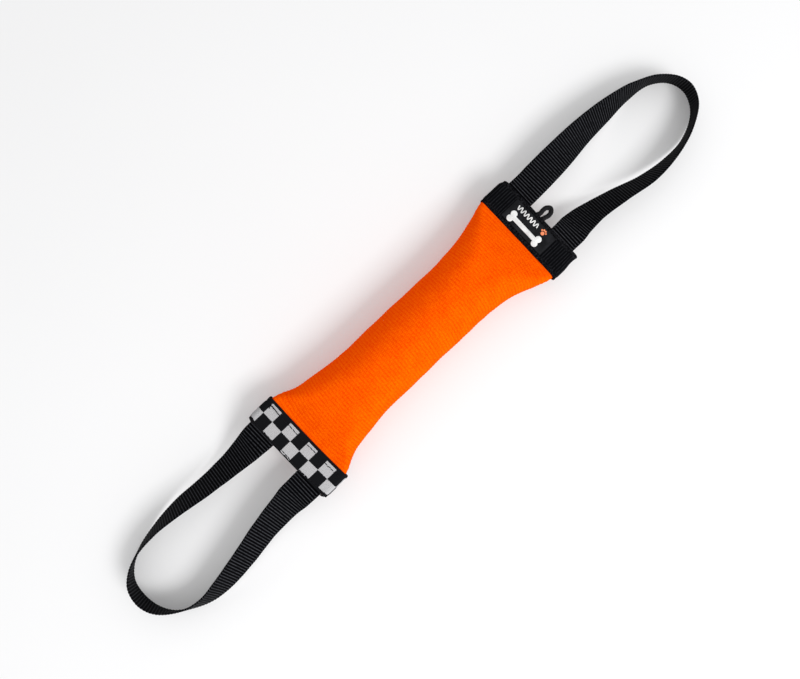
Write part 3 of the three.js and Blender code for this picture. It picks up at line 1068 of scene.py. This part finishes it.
def throw_loop(material):
    away = [[x, y, AXIS_HEIGHT] for x, y in CORD_SIDE]
    sewn = [[x, CORD_HALF_SPREAD, AXIS_HEIGHT] for x in (TAIL_START, 127, 137)]
    out = sewn + away
    back = [[x, -y, z] for x, y, z in out[::-1]]
    line, _ = respaced(catmull_rom(out + [[CORD_TIP, 0, AXIS_HEIGHT]] + back), CORD_STEP)
    line[:, 1] += CORD_LEAN * smooth_step(line[:, 0], *CORD_LEANS)
    flat = np.array(CORD_FLAT) / 2
    opened = smooth_step(line[:, 0], *CORD_OPENS)[:, None]
    radii = flat * (1 - opened) + CORD_DIAMETER / 2 * opened
    piece = tube("throw_loop_cord", line, radii, material, sides=CORD_SIDES, relief=braid)
    face_outward(piece)
    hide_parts("throw_loop", "throw_loop_tail_left", "throw_loop_tail_right")
    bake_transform(piece)


STITCH_PITCH = 3.2
STITCH_COUNT = 24
STITCH_TAPER = np.array([0.6, 0.9, 1, 1, 1, 1, 1, 0.9, 0.6])
STITCH_POINTS = len(STITCH_TAPER)
THREAD_RADIUS = 0.35
FRAYS_A_SIDE = 6
FRAY_POINTS = 12
FRAY_RADIUS = 0.24
HOOK_RADIUS = 0.33


def seam(end, row, face, material, seed):
    """A row of lockstitches across a binding: each rises from its hole and dips into the next."""
    place = SEAM_PLACES[end][row == "outer"]
    up = 1 if face == "front" else -1
    draw = np.random.default_rng(seed)
    stitches = []
    for i in range(STITCH_COUNT):
        middle = (i - (STITCH_COUNT - 1) / 2) * STITCH_PITCH + draw.uniform(-0.15, 0.15)
        y = middle + np.linspace(-0.46, 0.46, STITCH_POINTS) * STITCH_PITCH
        slant = draw.uniform(-0.4, 0.4)
        drift = 0.35 * ripples(seed, 30, y)
        level = BINDING_FACE - binding_press(end, np.full(STITCH_POINTS, place), y)
        rise = 0.32 * np.sin(np.linspace(0, math.pi, STITCH_POINTS)) ** 0.5 - 0.22
        x, y = binding_place(end, place + drift + slant * np.linspace(-1, 1, STITCH_POINTS), y)
        line = np.column_stack([x, y, AXIS_HEIGHT + up * (level + rise)])
        radii = np.full((STITCH_POINTS, 2), THREAD_RADIUS) * STITCH_TAPER[:, None]
        stitches.append(tube("stitch", line, radii, material))
    node = f"{end}_{row}_seam_{face}"
    on_bumper(joined(f"{node}_stitches", stitches), "thread", node)


def fray(line, radius, material):
    return tube("fray", line, np.full((len(line), 2), radius), material)


def frayed_ends(material):
    """Cut thread ends where the checkered binding's seams stop, and one loose loop."""
    draw = np.random.default_rng(77)
    threads = []
    for side in (-1, 1):
        for _ in range(FRAYS_A_SIDE):
            start = [-138.3 - draw.uniform(-0.6, 0.9), side * draw.uniform(40.2, 42.8) - 0.9]
            reach, turn = draw.uniform(2.5, 6.5), draw.uniform(-1.2, 0.6)
            way = [-math.cos(turn) * 0.08, -side * 0.9 * math.cos(turn * 0.5)]
            t = np.linspace(0, 1, FRAY_POINTS)
            bend = 0.8 * np.sin(3 * t + draw.uniform(0, 3))
            x = start[0] + way[0] * reach * t + bend * 0.5
            y = start[1] + way[1] * reach * t
            z = AXIS_HEIGHT + BINDING_FACE + 0.15 + 0.25 * np.sin(2.5 * t)
            z = z - 2.2 * smooth_step(np.abs(y), 40, 43.5)
            threads.append(fray(np.column_stack([x, y, z]), FRAY_RADIUS, material))
    top = AXIS_HEIGHT + BINDING_FACE + 0.1
    hook = [[-122.2, 36.4], [-120.6, 37.2], [-119.4, 36.2], [-119.6, 33], [-120.2, 27.8]]
    line = catmull_rom([[x, y, top] for x, y in hook], per_span=8)
    threads.append(fray(line, HOOK_RADIUS, material))
    on_bumper(joined("checkered_thread_ends", threads), "thread")


# ---- The scene ----
def add_floor(material):
    half = FLOOR_HALF_SIZE
    mesh = bpy.data.meshes.new("floor")
    corners = [(-half, -half, 0), (half, -half, 0), (half, half, 0), (-half, half, 0)]
    mesh.from_pydata(corners, [], [(0, 1, 2, 3)])
    mesh.materials.append(material)
    floor = link("floor", mesh)
    return floor


add_camera()
throw_loop(twisted_thread("cord_black", (0.0008, 0.0008, 0.001), (0.012, 0.012, 0.014), 0.55))

# The crest colours are painted highlights along the webbing's ribs.
webbing = black_webbing("black_webbing", STRAP_RIB_PITCH, (0.039, 0.04, 0.0455))
bound_webbing = black_webbing(
    "bound_webbing",
    BINDING_RIB_PITCH,
    (0.0155, 0.016, 0.0185),
    groove_colour=(0.0014, 0.0015, 0.002),
    seams=SEAM_PLACES["label"],
)
strap("label", LABEL_HANDLE_ROUTE, webbing, 11)
strap("checkered", CHECKERED_HANDLE_ROUTE, webbing, 12)

jacket = hose_jacket(hose_cloth())

checkers = checkered_webbing()
binding("label", "black_webbing", bound_webbing, BINDING_RIB_PITCH, 0.2, label_corner)
binding("checkered", "checkered_webbing", checkers, CHECKER_YARN, 0.07, checkered_corner)

label_black = woven_cloth("label_black", (0.0008, 0.001, 0.0015), (0.011, 0.0115, 0.014))
label_white = woven_cloth("label_white", (0.45, 0.45, 0.45), (0.75, 0.75, 0.74))
label_orange = woven_cloth("label_orange", (0.6, 0.16, 0.07), (0.85, 0.3, 0.14))
label, label_centre, label_along, label_across = woven_label(label_black)
motifs = label_motifs(label_centre, label_white, label_orange)

thread = twisted_thread("black_thread", (0.0004, 0.0004, 0.0006), (0.007, 0.007, 0.0085), 0.3)
for end, seed in (("label", 50), ("checkered", 60)):
    for row in ("inner", "outer"):
        for face in ("front", "back"):
            seam(end, row, face, thread, seed)
            seed += 1

frayed_ends(thread)

rubber = moulded("liner_rubber", (0.02, 0.018, 0.016), (0.05, 0.045, 0.04), 5, 0.6, 0.1)
foam = moulded("closed_cell_foam", (0.62, 0.6, 0.54), (0.85, 0.83, 0.76), 11, 0.85, 0.4)
liner_walls = [HOSE_WALL + LINER_GAP, HOSE_WALL + LINER_GAP + LINER_WALL]
liner_end = HOSE_END - LINER_SHORTER
filling("hose_liner_tube", "hose_liner", "liner_rubber", liner_end, liner_walls, rubber)
filling("foam_core_block", "foam_core", "foam", CORE_END, [liner_walls[1] + CORE_GAP], foam)

add_world()
lights = {name: add_light(name, *setting) for name, setting in LIGHTS.items()}
keep_off(lights["low_fill"], add_floor(studio_floor()))
